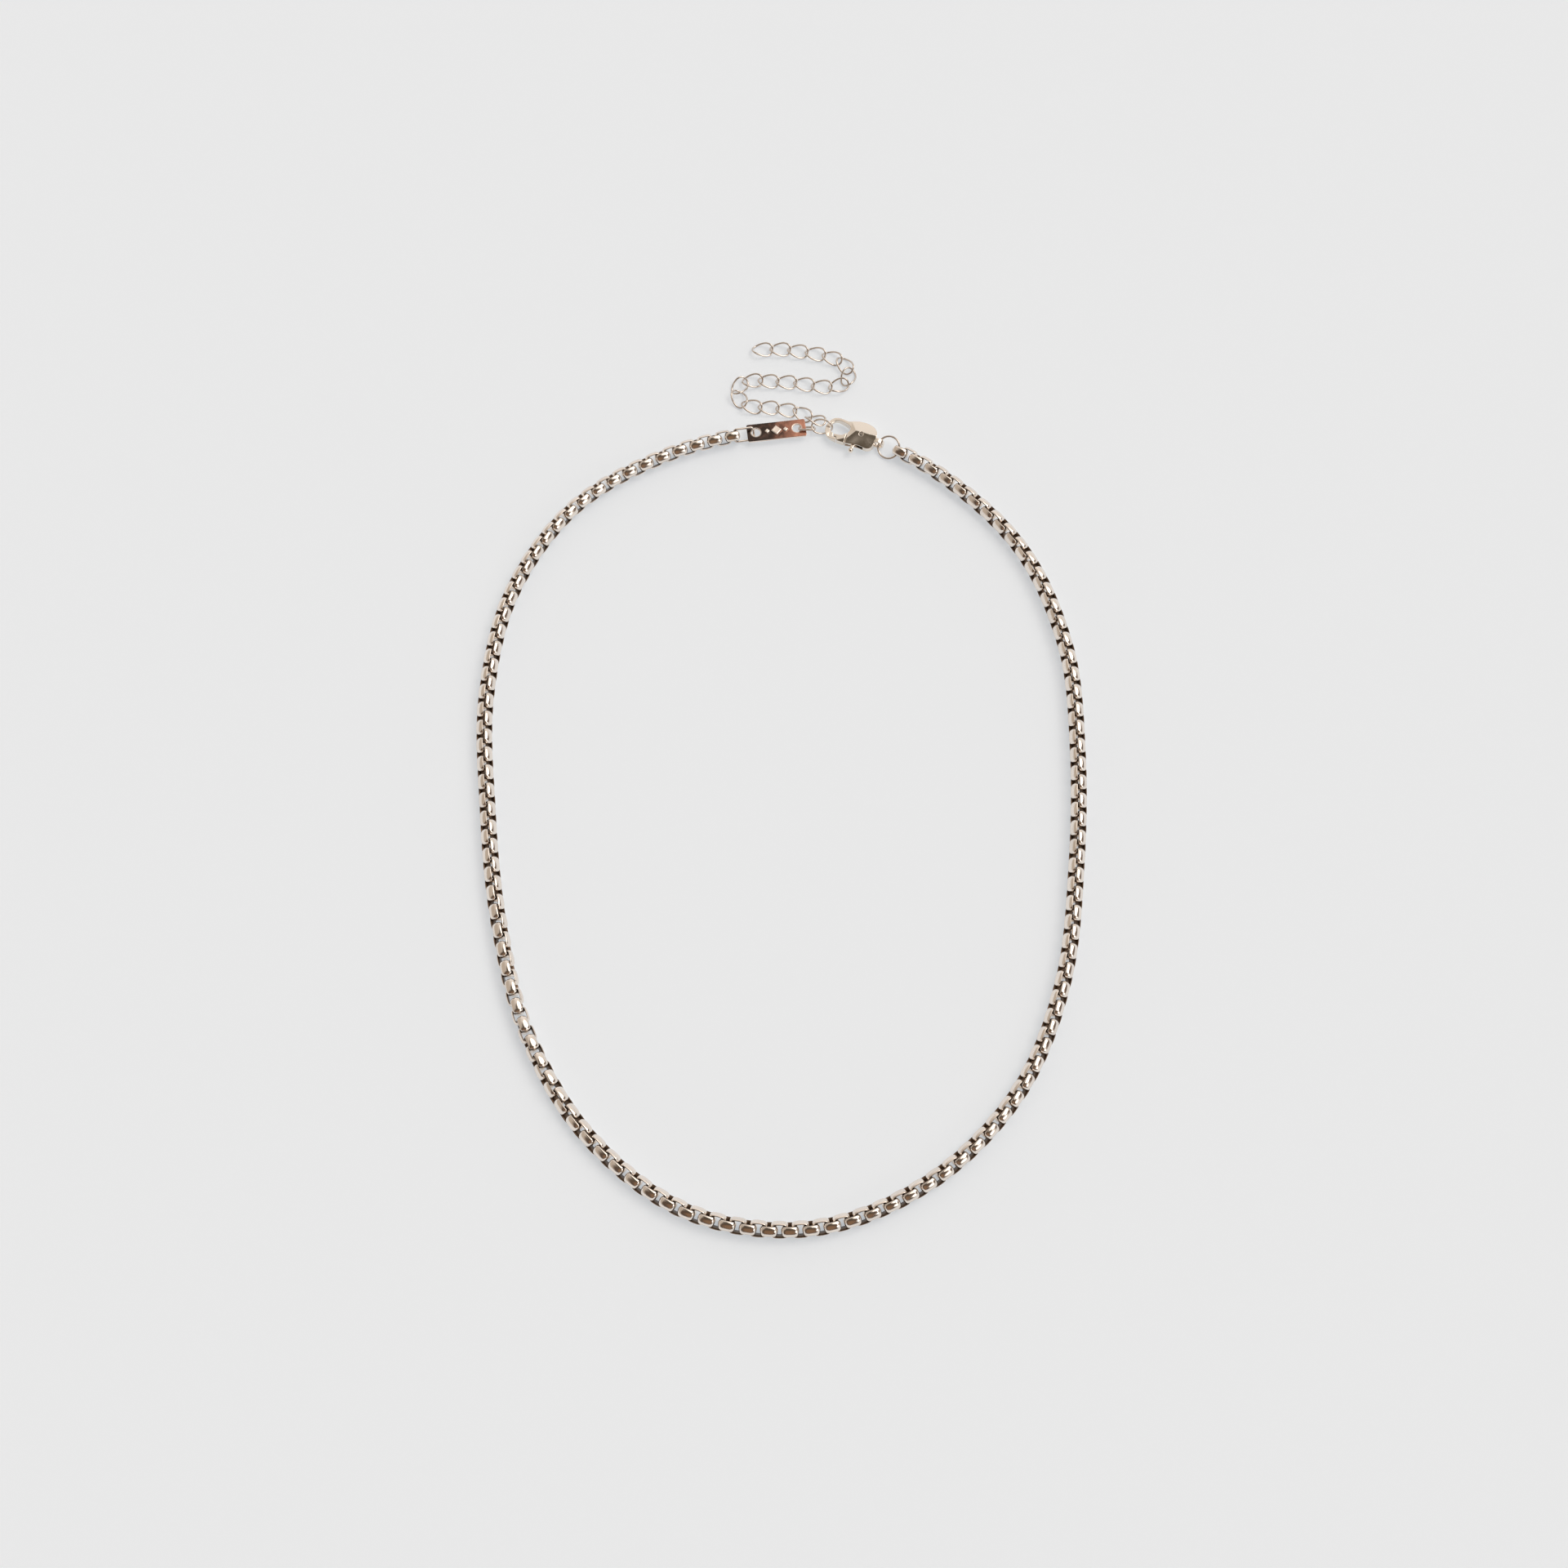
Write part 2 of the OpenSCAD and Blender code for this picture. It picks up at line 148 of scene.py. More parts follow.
@dataclass(frozen=True)
class Route:
    """A line on the floor, read by the length travelled along it.

    Attributes:
        line: Its points (n, 2) in metres.
        travelled: Length along the line at each point.
        closed: Whether it runs back into its first point.
    """

    line: np.ndarray
    travelled: np.ndarray
    closed: bool

    STEPS = 24

    @classmethod
    def through(cls, points: Sequence[tuple[float, float]], closed: bool) -> "Route":
        """A line through points, each span a cubic whose slopes follow its neighbours' chords.

        Args:
            points: Places on the floor in millimetres.
            closed: Whether the line runs back into its first point.

        Returns:
            The route in metres.
        """
        p = np.array(points, float) * MM
        count = len(p)
        spans = np.arange(count if closed else count - 1)
        pick = (lambda k: k % count) if closed else (lambda k: np.clip(k, 0, count - 1))
        a, b, c, d = (p[pick(spans + k)][:, None] for k in (-1, 0, 1, 2))
        u = (np.arange(cls.STEPS) / cls.STEPS)[None, :, None]
        line = 2 * b + (c - a) * u + (2 * a - 5 * b + 4 * c - d) * u**2
        line = (line + (3 * b - a - 3 * c + d) * u**3) / 2
        line = line.reshape(-1, 2)
        if closed:
            line = np.vstack([line, line[:1]])
        steps = np.linalg.norm(np.diff(line, axis=0), axis=1)
        return cls(line, np.concatenate([[0.0], np.cumsum(steps)]), closed)

    @property
    def length(self) -> float:
        """The whole line's length."""
        return float(self.travelled[-1])

    def spot(self, lengths: np.ndarray | float) -> np.ndarray:
        """Places on the floor at these lengths along the line.

        Args:
            lengths: Lengths along the line, one or an array. A closed line starts again.

        Returns:
            The places, with x and y in the last axis.
        """
        s = np.asarray(lengths, float)
        if self.closed:
            s = s - self.length * np.floor(s / self.length)
        return np.stack([np.interp(s, self.travelled, self.line[:, k]) for k in (0, 1)], axis=-1)

    def heading(self, start: np.ndarray | float, end: np.ndarray | float) -> np.ndarray:
        """Directions in degrees of the chords between lengths start and end."""
        chord = self.spot(end) - self.spot(start)
        return np.degrees(np.arctan2(chord[..., 1], chord[..., 0]))


@dataclass
class Surface:
    """A closed mesh of four-sided faces with named values on its points.

    Attributes:
        points: Its points (n, 3).
        faces: Rows of four point numbers.
        marks: Values on the points.
        creases: Rows (point, point, sharpness) for the edges that stay sharp, if any.
    """

    points: np.ndarray
    faces: np.ndarray
    marks: dict[Mark, np.ndarray] = field(default_factory=dict)
    creases: np.ndarray | None = None

    @classmethod
    def ring_grid(cls, points: np.ndarray) -> "Surface":
        """A grid that closes both ways: rings (n, m, 3), each joined to the next one.

        Args:
            points: Ring points, counter-clockwise round the walking direction.

        Returns:
            The closed surface.
        """
        n, m = points.shape[:2]
        ring, side = np.meshgrid(np.arange(n), np.arange(m), indexing="ij")
        nxt, turn = (ring + 1) % n, (side + 1) % m
        corners = [ring * m + side, ring * m + turn, nxt * m + turn, nxt * m + side]
        return cls(points.reshape(-1, 3), np.stack(corners, axis=-1).reshape(-1, 4))

    def placed(self, placing: Placing) -> "Surface":
        """Copies of the surface at each place of a placing, as one surface.

        Args:
            placing: Where the copies lie.

        Returns:
            The copies, with their marks and creases.
        """
        points = placing.of(self.points)
        count, size = points.shape[:2]
        shift = (np.arange(count) * size)[:, None, None]
        marks = {mark: np.tile(value, count) for mark, value in self.marks.items()}
        creases = None if self.creases is None else np.tile(self.creases, (count, 1))
        faces = (self.faces[None] + shift).reshape(-1, 4)
        if creases is not None:
            creases[:, :2] += np.repeat(np.arange(count) * size, len(self.creases))[:, None]
        return Surface(points.reshape(-1, 3), faces, marks, creases)

    def mesh(self, name: str) -> bpy.types.Mesh:
        """The surface as a smooth mesh with its marks as point attributes.

        Args:
            name: The mesh's name.

        Returns:
            The new mesh.
        """
        mesh = bpy.data.meshes.new(name)
        mesh.from_pydata(self.points.tolist(), [], self.faces.tolist())
        for mark, value in self.marks.items():
            layer = mesh.attributes.new(mark.value, "FLOAT", "POINT")
            layer.data.foreach_set("value", value.astype(np.float32))
        if self.creases is not None:
            self._crease(mesh)
        mesh.shade_smooth()
        return mesh

    def _crease(self, mesh: bpy.types.Mesh) -> None:
        """Sets the sharpness of the edges that the rows (point, point, sharpness) name.

        Args:
            mesh: The mesh made from this surface.
        """
        size = len(self.points)
        pairs = np.empty(len(mesh.edges) * 2, np.int32)
        mesh.edges.foreach_get("vertices", pairs)
        keys = np.sort(pairs.reshape(-1, 2), axis=1) @ np.array([size, 1])
        named = np.sort(self.creases[:, :2].astype(int), axis=1) @ np.array([size, 1])
        order = np.argsort(keys)
        sharp = np.zeros(len(keys), np.float32)
        sharp[order[np.searchsorted(keys[order], named)]] = self.creases[:, 2]
        layer = mesh.attributes.new("crease_edge", "FLOAT", "EDGE")
        layer.data.foreach_set("value", sharp)


def wire_ring(path: np.ndarray, wire: float, sides: int) -> Surface:
    """Round wire bent along a closed path.

    Each ring stands square to the chord between the path's neighbours of its point: centre plus
    radius times (cos a * out + sin a * up), with out level and up square to it and to the chord.

    Args:
        path: Points (n, 3) of the wire's centre, counter-clockwise seen from above.
        wire: The wire's diameter.
        sides: How many points go round the wire.

    Returns:
        The closed tube.
    """
    along = np.roll(path, -1, axis=0) - np.roll(path, 1, axis=0)
    along /= np.linalg.norm(along, axis=1, keepdims=True)
    out = np.cross(along, [0, 0, 1])
    out /= np.linalg.norm(out, axis=1, keepdims=True)
    up = np.cross(out, along)
    a = np.linspace(0, 2 * np.pi, sides, endpoint=False)[None, :, None]
    rings = path[:, None] + wire / 2 * (np.cos(a) * out[:, None] + np.sin(a) * up[:, None])
    return Surface.ring_grid(rings)


def rounded_rectangle(half: tuple[float, float], radius: float, corner_steps: int) -> np.ndarray:
    """Points of a rectangle with rounded corners.

    Each point is its corner circle's centre plus the radius at the turning angle.

    Args:
        half: Half the length and half the width.
        radius: The corners' radius.
        corner_steps: How many steps make one corner's quarter turn.

    Returns:
        Points (n, 2), counter-clockwise from the right-hand side's upper end.
    """
    step = np.arange(corner_steps + 1) / corner_steps
    angle = (np.arange(4)[:, None] + step).ravel() * np.pi / 2
    corner = np.repeat([[1, 1], [-1, 1], [-1, -1], [1, -1]], corner_steps + 1, axis=0)
    reach = np.array(half) - radius
    return corner * reach + radius * np.stack([np.cos(angle), np.sin(angle)], axis=-1)


class Value:
    """A shader socket on which Python's operators build Math nodes."""

    def __init__(self, shader: "Shader", socket: bpy.types.NodeSocket) -> None:
        """Keeps the socket and the shader that it belongs to."""
        self.shader = shader
        self.socket = socket

    def _math(self, operation: str, first: object, second: object) -> "Value":
        """A Math node on two values, each a number or a Value."""
        node = self.shader.node("ShaderNodeMath", {"operation": operation}, {0: first, 1: second})
        return Value(self.shader, node.outputs[0])

    def __add__(self, other: object) -> "Value":
        """Sum with a number or a Value."""
        return self._math("ADD", self, other)

    def __radd__(self, other: object) -> "Value":
        """Sum, from the right."""
        return self._math("ADD", other, self)

    def __sub__(self, other: object) -> "Value":
        """Difference."""
        return self._math("SUBTRACT", self, other)

    def __rsub__(self, other: object) -> "Value":
        """Difference, from the right."""
        return self._math("SUBTRACT", other, self)

    def __mul__(self, other: object) -> "Value":
        """Product."""
        return self._math("MULTIPLY", self, other)

    def __rmul__(self, other: object) -> "Value":
        """Product, from the right."""
        return self._math("MULTIPLY", other, self)

    def ramp(self, low: float, high: float) -> "Value":
        """A smooth step from 0 at low to 1 at high."""
        return self._rise("SMOOTHSTEP", low, high)

    def stretch(self, low: float, high: float) -> "Value":
        """A straight rise from 0 at low to 1 at high, held at both ends."""
        return self._rise("LINEAR", low, high)

    def _rise(self, shape: str, low: float, high: float) -> "Value":
        """A Map Range node from 0 at low to 1 at high.

        Args:
            shape: The node's interpolation.
            low: The value that becomes 0.
            high: The value that becomes 1.

        Returns:
            The new value.
        """
        settings = {"interpolation_type": shape}
        inputs = {"Value": self, "From Min": low, "From Max": high}
        node = self.shader.node("ShaderNodeMapRange", settings, inputs)
        return Value(self.shader, node.outputs[0])


class Shader:
    """The node tree of a material or a world, built from types, settings and inputs."""

    MIX_FACTOR, MIX_A, MIX_B, MIX_RESULT = 0, 6, 7, 2

    def __init__(self, holder: bpy.types.Material | bpy.types.World) -> None:
        """Starts an empty tree.

        Args:
            holder: The material or world that the tree belongs to.
        """
        holder.use_nodes = True
        self.holder = holder
        self.tree = holder.node_tree
        self.tree.nodes.clear()

    def node(
        self,
        kind: str,
        settings: Mapping[str, object],
        inputs: Mapping[str | int, object],
    ) -> bpy.types.Node:
        """Makes a node, sets its settings, then fills its sockets.

        Args:
            kind: The node's type.
            settings: The node's own properties, set first.
            inputs: Numbers, colours, Values or sockets for its input sockets.

        Returns:
            The new node.
        """
        node = self.tree.nodes.new(kind)
        for key, value in settings.items():
            setattr(node, key, value)
        for key, value in inputs.items():
            if isinstance(value, Value):
                value = value.socket
            if isinstance(value, bpy.types.NodeSocket):
                self.tree.links.new(value, node.inputs[key])
            else:
                node.inputs[key].default_value = value
        return node

    def place(self) -> bpy.types.NodeSocket:
        """Object coordinates in metres."""
        return self.node("ShaderNodeTexCoord", {}, {}).outputs["Object"]

    def mark(self, mark: Mark) -> Value:
        """A surface attribute's value."""
        node = self.node("ShaderNodeAttribute", {"attribute_name": mark.value}, {})
        return Value(self, node.outputs["Fac"])

    def noise(self, place: bpy.types.NodeSocket, grain: float, octaves: Octaves) -> Value:
        """Noise from 0 to 1 whose patches are about one grain wide.

        Args:
            place: Coordinates to read.
            grain: Size of a patch in metres.
            octaves: How many finer octaves it has.

        Returns:
            The noise's value.
        """
        inputs = {"Vector": place, "Scale": 1 / grain, "Detail": float(octaves.value)}
        return Value(self, self.node("ShaderNodeTexNoise", {}, inputs).outputs["Fac"])

    def along(self, vector: bpy.types.NodeSocket, axis: Point) -> Value:
        """How far a vector reaches along an axis: their dot product.

        Args:
            vector: The vector's socket.
            axis: The axis, of length one.

        Returns:
            The reach.
        """
        settings = {"operation": "DOT_PRODUCT"}
        node = self.node("ShaderNodeVectorMath", settings, {0: vector, 1: axis})
        return Value(self, node.outputs["Value"])

    def distance(self, vector: bpy.types.NodeSocket, point: tuple[float, float]) -> Value:
        """How far a vector lies from an upright line through a point of the floor.

        Args:
            vector: The vector's socket.
            point: The point's x and y.

        Returns:
            The distance.
        """
        flat = self.node(
            "ShaderNodeVectorMath", {"operation": "MULTIPLY"}, {0: vector, 1: (1.0, 1.0, 0.0)}
        )
        settings = {"operation": "DISTANCE"}
        node = self.node("ShaderNodeVectorMath", settings, {0: flat.outputs[0], 1: (*point, 0.0)})
        return Value(self, node.outputs["Value"])

    def blend(self, factor: Value, first: object, second: object) -> bpy.types.NodeSocket:
        """A colour between two.

        Args:
            factor: 0 for the first colour, 1 for the second.
            first: A colour or its socket.
            second: The other colour.

        Returns:
            The colour's socket.
        """
        inputs = {self.MIX_FACTOR: factor, self.MIX_A: first, self.MIX_B: second}
        node = self.node("ShaderNodeMix", {"data_type": "RGBA"}, inputs)
        return node.outputs[self.MIX_RESULT]

    def relief(self, layers: Sequence[tuple[Value, float]]) -> bpy.types.NodeSocket:
        """A normal from layers of height.

        Args:
            layers: Values from 0 to 1, each with its depth in metres.

        Returns:
            The normal's socket.
        """
        (first, depth), *rest = layers
        height = first * depth
        for value, depth in rest:
            height = height + value * depth
        inputs = {"Strength": 1.0, "Distance": 1.0, "Height": height}
        return self.node("ShaderNodeBump", {}, inputs).outputs[0]

    def finish(self, surface: Mapping[str, object]) -> bpy.types.Material:
        """Ends the tree with a Principled shader.

        Args:
            surface: What goes into the shader's sockets.

        Returns:
            The finished material.
        """
        shader = self.node("ShaderNodeBsdfPrincipled", {}, surface)
        self.node("ShaderNodeOutputMaterial", {}, {"Surface": shader.outputs[0]})
        return self.holder


@dataclass(frozen=True)
class WarmMetal:
    """Polished warm metal, browner in random patches, with painted shade that browns the marked
    inner faces, which are also duller.

    Attributes:
        name: The material's name.
        colour: Colour of the polished metal.
        tarnish_and_shade: Colour of the painted shade on the marked inner faces, and of the browner
            random patches.
        roughness: Roughness of the polish.
        cloud: How much broad patches change the polish.
        grain: Size and depth of the fine polishing marks.
        wave: Size and depth of the soft waves that hand polishing leaves.
    """

    name: str
    colour: Colour
    tarnish_and_shade: Colour
    roughness: float
    cloud: float
    grain: tuple[float, float]
    wave: tuple[float, float]

    CLOUD_SIZE = 5 * MM
    INNER_ROUGHNESS = 0.2
    PATCH_ROUGHNESS = 0.06
    TONE_STRENGTH = 0.16

    def material(self) -> bpy.types.Material:
        """Builds the finish's material.

        Returns:
            The new material.
        """
        shader = Shader(bpy.data.materials.new(self.name))
        place = shader.place()
        cloud = shader.noise(place, self.CLOUD_SIZE, Octaves.SOME)
        fine = shader.noise(place, self.grain[0], Octaves.MANY)
        wave = shader.noise(place, self.wave[0], Octaves.NONE)
        shelter = shader.mark(Mark.INNER_SHADE)
        tone = shader.mark(Mark.TONE)
        # Painted shade: the inner-face mark, with the random tone and patches, carries the colour
        # towards the dark brown.
        shade_and_tarnish_mix = shelter + tone * self.TONE_STRENGTH + (cloud - 0.5) * self.cloud
        colour = shader.blend(shade_and_tarnish_mix.ramp(0.0, 1.0), (*self.colour, 1.0), (*self.tarnish_and_shade, 1.0))
        roughness = self.roughness + (cloud + fine - 1.0) * self.PATCH_ROUGHNESS
        roughness = roughness + shelter * self.INNER_ROUGHNESS
        return shader.finish(
            {
                "Base Color": colour,
                "Metallic": 1.0,
                "Roughness": roughness,
                "Normal": shader.relief([(fine, self.grain[1]), (wave, self.wave[1])]),
            }
        )


@dataclass(frozen=True)
class CopperTag:
    """Copper plating, dark brown at one end and red at the other, polished where it is rubbed.

    Its face keeps the two colours. Its sides, the holes' rims and the raised parts are bright.

    Attributes:
        holes: Middles of the two holes on the floor's plan.
        dark: Colour of the darker end.
        red: Colour of the coppery end.
        polished: Colour of the raised parts.
        span: Where along x the brown ends and the red is full.
        face_from: Heights between which the polished sides turn into the coloured face.
        raised_from: Heights between which a raised part's side turns polished.
        mottle: Size of the patches in which the two colours mix.
        mottling: How far the patches carry one colour into the other.
        grain: Size and depth of the fine marks.
        wave: Size and depth of the soft waves that stamping leaves.
        rim: Distances from a hole's middle between which the worn rim fades.
    """

    holes: Sequence[tuple[float, float]]
    dark: Colour = (0.060, 0.043, 0.036)
    red: Colour = (0.49, 0.235, 0.165)
    polished: Colour = (0.90, 0.80, 0.72)
    span: tuple[float, float] = (-3.6 * MM, 4.6 * MM)
    face_from: tuple[float, float] = (1.60 * MM, 1.67 * MM)
    raised_from: tuple[float, float] = (1.76 * MM, 1.84 * MM)
    mottle: float = 1.5 * MM
    mottling: float = 1.3
    grain: tuple[float, float] = (0.30 * MM, 0.004 * MM)
    wave: tuple[float, float] = (2.4 * MM, 0.10 * MM)
    rim: tuple[float, float] = (1.02 * MM, 1.35 * MM)

    ROUGHNESS = 0.16
    PATCH_ROUGHNESS = 0.12
    GRAIN_ROUGHNESS = 0.08

    def material(self) -> bpy.types.Material:
        """Builds the finish's material.

        Returns:
            The new material.
        """
        shader = Shader(bpy.data.materials.new("copper_brown_tag"))
        place = shader.place()
        patches = shader.noise(place, self.mottle, Octaves.MANY)
        fine = shader.noise(place, self.grain[0], Octaves.MANY)
        wave = shader.noise(place, self.wave[0], Octaves.NONE)
        height = shader.along(place, (0.0, 0.0, 1.0))
        face = height.ramp(*self.face_from) * (1 - height.ramp(*self.raised_from))
        along = shader.along(place, (1.0, 0.0, 0.0)).stretch(*self.span)
        redness = (along + (patches - 0.5) * self.mottling).ramp(0.0, 1.0)
        field_colour = shader.blend(redness, (*self.dark, 1.0), (*self.red, 1.0))
        for hole in self.holes:
            face = face * shader.distance(place, hole).ramp(*self.rim)
        colour = shader.blend(face, (*self.polished, 1.0), field_colour)
        roughness = self.ROUGHNESS + patches * self.PATCH_ROUGHNESS
        roughness = roughness + (fine - 0.5) * self.GRAIN_ROUGHNESS
        return shader.finish(
            {
                "Base Color": colour,
                "Metallic": 1.0,
                "Roughness": roughness,
                "Normal": shader.relief([(fine, self.grain[1]), (wave, self.wave[1])]),
            }
        )


@dataclass(frozen=True)
class PaleFloor:
    """A matt pale card, faintly lit from below as on a light table, which keeps shadows cool.

    Attributes:
        colour: Colour of the card.
        glow: Light that comes through it.
        grain: Size of its fine cloudiness.
        roughness: Roughness of its smoothest and of its roughest patches.
    """

    colour: Colour = (0.60, 0.61, 0.62)
    glow: Colour = (0.355, 0.385, 0.415)
    grain: float = 3 * MM
    roughness: tuple[float, float] = (0.85, 0.95)

    def material(self) -> bpy.types.Material:
        """Builds the floor's material.

        Returns:
            The new material.
        """
        shader = Shader(bpy.data.materials.new("pale_card"))
        cloud = shader.noise(shader.place(), self.grain, Octaves.MANY)
        smooth, rough = self.roughness
        roughness = smooth + cloud * (rough - smooth)
        return shader.finish(
            {
                "Base Color": (*self.colour, 1.0),
                "Roughness": roughness,
                "Specular IOR Level": 0.0,
                "Emission Color": (*self.glow, 1.0),
                "Emission Strength": 1.0,
            }
        )


CHAIN_FINISH = WarmMetal(
    name="warm_silver_chain",
    colour=(0.90, 0.82, 0.745),
    # Dark brown of the painted shade inside the links, and of the random patches.
    tarnish_and_shade=(0.15, 0.10, 0.068),
    roughness=0.15,
    cloud=0.25,
    grain=(0.35 * MM, 0.003 * MM),
    wave=(1.3 * MM, 0.03 * MM),
)
WIRE_FINISH = WarmMetal(
    name="warm_silver_wire",
    colour=(0.71, 0.64, 0.58),
    tarnish_and_shade=(0.17, 0.12, 0.09),
    roughness=0.15,
    cloud=0.5,
    grain=(0.25 * MM, 0.002 * MM),
    wave=(1.5 * MM, 0.02 * MM),
)
CLASP_FINISH = WarmMetal(
    name="warm_silver_clasp",
    colour=(0.89, 0.81, 0.72),
    tarnish_and_shade=(0.20, 0.13, 0.08),
    roughness=0.13,
    cloud=0.25,
    grain=(0.50 * MM, 0.0015 * MM),
    wave=(3.0 * MM, 0.14 * MM),
)
RIVET_FINISH = WarmMetal(
    name="dark_steel_rivet",
    colour=(0.27, 0.235, 0.20),
    tarnish_and_shade=(0.10, 0.08, 0.07),
    roughness=0.2,
    cloud=0.25,
    grain=(0.30 * MM, 0.0015 * MM),
    wave=(1.0 * MM, 0.02 * MM),
)


def show(
    surface: Surface | bpy.types.Mesh,
    name: str,
    body: Body,
    material: bpy.types.Material,
    stands_for: Sequence[str],
) -> bpy.types.Object:
    """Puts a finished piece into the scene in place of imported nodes.

    Args:
        surface: The piece's surface or mesh, in metres where it lies.
        name: The piece's name.
        body: The body that it moves with.
        material: Its finish.
        stands_for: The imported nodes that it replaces.

    Returns:
        The new object.
    """
    mesh = surface.mesh(name) if isinstance(surface, Surface) else surface
    mesh.materials.clear()
    mesh.materials.append(material)
    piece = bpy.data.objects.new(name, mesh)
    bpy.context.scene.collection.objects.link(piece)
    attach(piece, body.value)
    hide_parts(*stands_for)
    LOG.info("%s: %d points, %d faces", name, len(mesh.vertices), len(mesh.polygons))
    return piece


@dataclass
class Layout:
    """The loop's line and where each piece of the closure lies along it, from the tag's middle.

    Attributes:
        loop_points: Places of the loop on the floor, in millimetres, clockwise from the tag.
        tag_len: The tag's length.
        tag_inset: From the tag's end to its hole's middle.
        tag_hole: The tag's holes across.
        ring_wire: Wire of the connector link, the tag ring and the clasp ring.
        connector_len: The connector link's length between its wire's centres.
        tag_ring_len: The tag ring's length between its wire's centres.
        clasp_ring: The clasp ring across.
        curb_wire: Wire of the extender's links.
        curb_len: Length of an extender link.
        clasp_len: The clasp's length.
        clasp_height: The clasp's height.
        eye: The clasp's eye across.
        eye_hole: The eye's hole across.
        chain_width: The box chain's width.
        strip_width: Width of the strip that a box link is bent from.
        link_window: Length of the opening in a box link.
        link_pitch: Distance from box link to box link.
        hook_band: Thickness of the hook's round end.
        curb_slack: Play of the extender's first link on the hook.
        clear: The unit of play between pieces that hang in one another.
    """

    loop_points: Sequence[tuple[float, float]] = (
        (-1, 79.5), (16, 78.5), (36, 68), (53.5, 49.5), (62.5, 25.5), (64, 0.5), (62.5, -25),
        (58.5, -50.5), (48.5, -73.5), (30.5, -91.5), (7, -101), (-18, -98), (-38.5, -83),
        (-52, -61.5), (-59, -37), (-62.5, -12), (-64, 13.5), (-59.5, 38.5), (-46, 60),
        (-24.5, 73.5),
    )
    tag_len: float = 13.5 * MM
    tag_inset: float = 2.05 * MM
    tag_hole: float = 2.0 * MM
    ring_wire: float = 0.5 * MM
    connector_len: float = 4.6 * MM
    tag_ring_len: float = 3.6 * MM
    clasp_ring: float = 5.5 * MM
    curb_wire: float = 0.45 * MM
    curb_len: float = 5.2 * MM
    clasp_len: float = 14.0 * MM
    clasp_height: float = 2.8 * MM
    eye: float = 2.8 * MM
    eye_hole: float = 1.8 * MM
    chain_width: float = 3.6 * MM
    strip_width: float = 2.11 * MM
    link_window: float = 2.4 * MM
    link_pitch: float = 2.1 * MM
    hook_band: float = 1.0 * MM
    curb_slack: float = 0.65 * MM
    clear: float = 0.1 * MM

    def __post_init__(self) -> None:
        """Works out the places along the loop."""
        self.loop = Route.through(self.loop_points, closed=True)
        self.mid_height = self.clasp_height / 2
        self.hole_reach = self.tag_len / 2 - self.tag_inset
        pull = self.tag_hole / 2 - self.ring_wire / 2 - 2.5 * self.clear
        self.ring_radius = (self.clasp_ring - self.ring_wire) / 2
        sag = self.ring_radius - math.sqrt(self.ring_radius**2 - (self.strip_width / 2) ** 2)
        self.connector_near = -self.hole_reach - pull
        self.connector_far = self.connector_near - self.connector_len
        window = self.link_window / 2
        last_link = self.connector_far - window + self.ring_wire / 2 + 5 * self.clear
        self.tag_ring_near = self.hole_reach + pull
        self.tag_ring_far = self.tag_ring_near + self.tag_ring_len
        hooked = self.curb_len - 2 * self.curb_wire - self.curb_slack - self.hook_band
        self.hook_end = self.tag_ring_far - self.ring_wire / 2 + hooked
        self.eye_at = self.hook_end + self.clasp_len - self.eye / 2
        self.ring_near = self.eye_at + self.eye_hole / 2 - self.ring_wire / 2 - 4.5 * self.clear
        self.ring_far = self.ring_near + 2 * self.ring_radius
        reach = self.ring_far + window - self.ring_wire / 2 - 2.5 * self.clear
        self.first_link = reach - sag
        self.chain_span = self.loop.length + last_link - self.first_link
        self.link_count = 2 * round((self.chain_span / self.link_pitch + 1) / 2)
        self.link_step = self.chain_span / (self.link_count - 1)

    def between(self, start: float, end: float, z: tuple[float, float], lean: float) -> Placing:
        """The place midway between two lengths along the loop, x from one to the other.

        Args:
            start: Length along the loop of the first place.
            end: Length of the second place.
            z: Heights of the two places.
            lean: Turn about the line between them, in degrees.

        Returns:
            A placing of one place.
        """
        ends = self.loop.spot(np.array([start, end]))
        flat = np.linalg.norm(ends[1] - ends[0])
        climb = math.degrees(math.atan2(z[1] - z[0], flat))
        turn = turned(lean, -climb, float(self.loop.heading(start, end)))
        return Placing(turn[None], np.array([[*ends.mean(axis=0), sum(z) / 2]]))

    def clasp_frame(self) -> Placing:
        """The clasp's own frame, its origin at the hook's outer end."""
        turn = turned(0, 0, float(self.loop.heading(self.hook_end, self.eye_at)))
        return Placing(turn, np.array([*self.loop.spot(self.hook_end), self.mid_height]))


